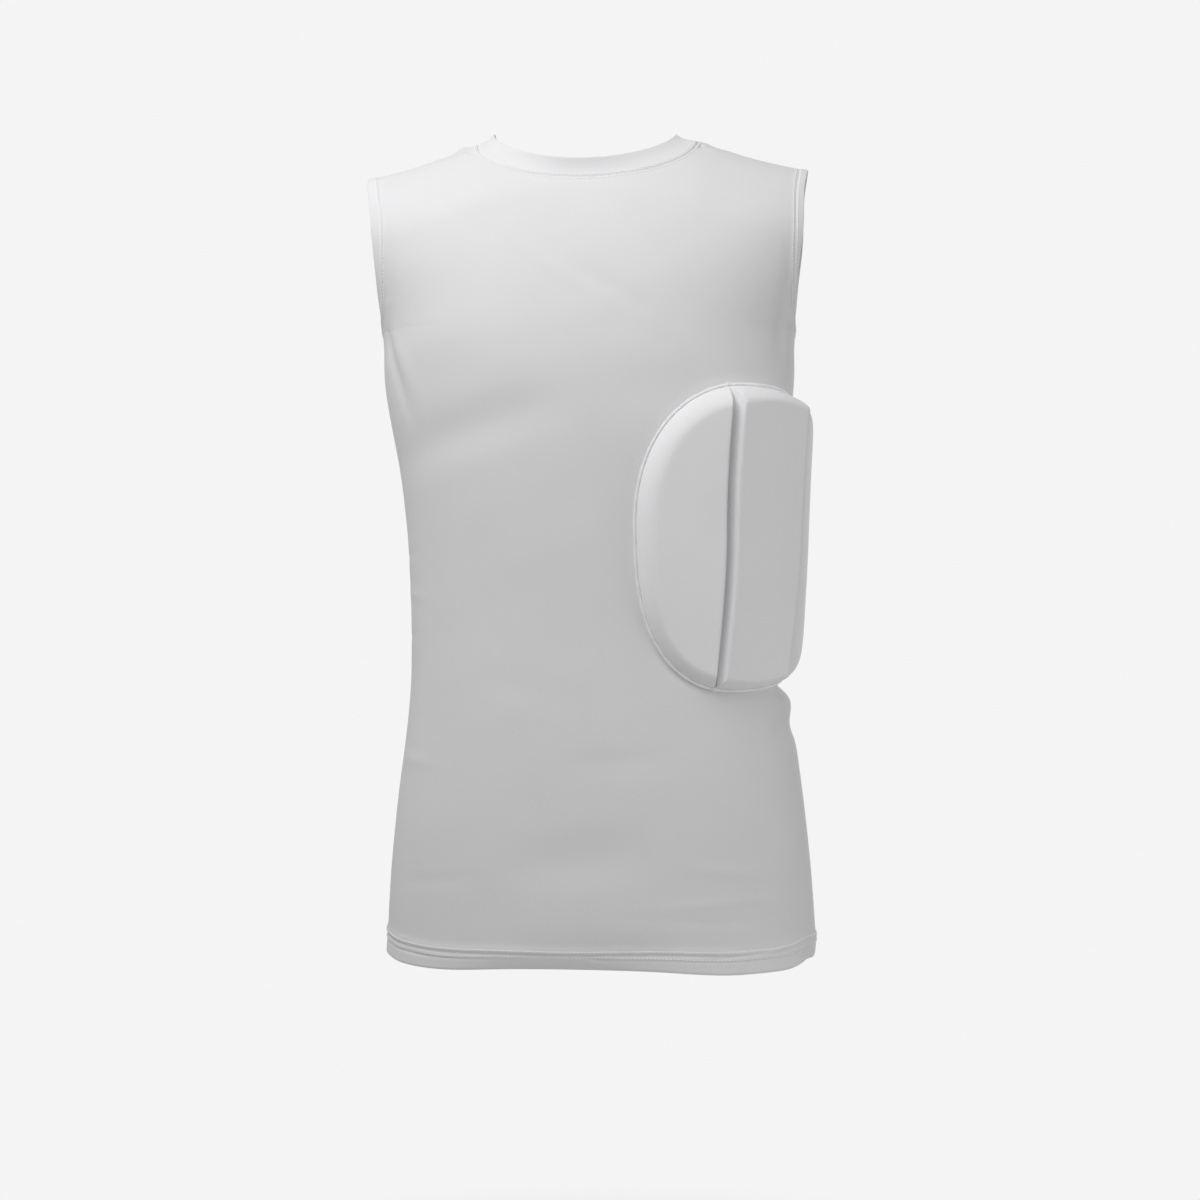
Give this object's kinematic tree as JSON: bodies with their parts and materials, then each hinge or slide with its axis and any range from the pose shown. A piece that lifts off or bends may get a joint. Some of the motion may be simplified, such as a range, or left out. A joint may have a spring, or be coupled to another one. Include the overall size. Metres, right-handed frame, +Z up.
{
  "type": "cricket body protector",
  "caption": "White sleeveless stretch vest in its hollow worn form, with a crew neckband, bound armholes, a turned hem and a bevelled foam rib guard in hinged pads on the left side.",
  "frame": {"origin": "midway between the high points of the shoulder seams, where the wearer's shoulders carry the vest", "axes": "+Z up, -Y the wearer's front, +X the wearer's left, where the rib guard is"},
  "size_m": [0.3788, 0.2271, 0.6922],
  "materials": {
    "white_jersey": "fine matt stretch knit",
    "white_binding": "folded matt stretch knit",
    "white_pad_cover": "smooth matt knit, drawn tight over foam"
  },
  "bodies": {
    "root": {"front": "white_jersey", "back": "white_jersey", "neckband": "white_binding", "armhole_binding_left": "white_binding", "armhole_binding_right": "white_binding", "pad_front": "white_pad_cover", "pad_side": "white_pad_cover", "pad_back": "white_pad_cover", "guard_welt": "white_pad_cover"}
  },
  "joints": []
}
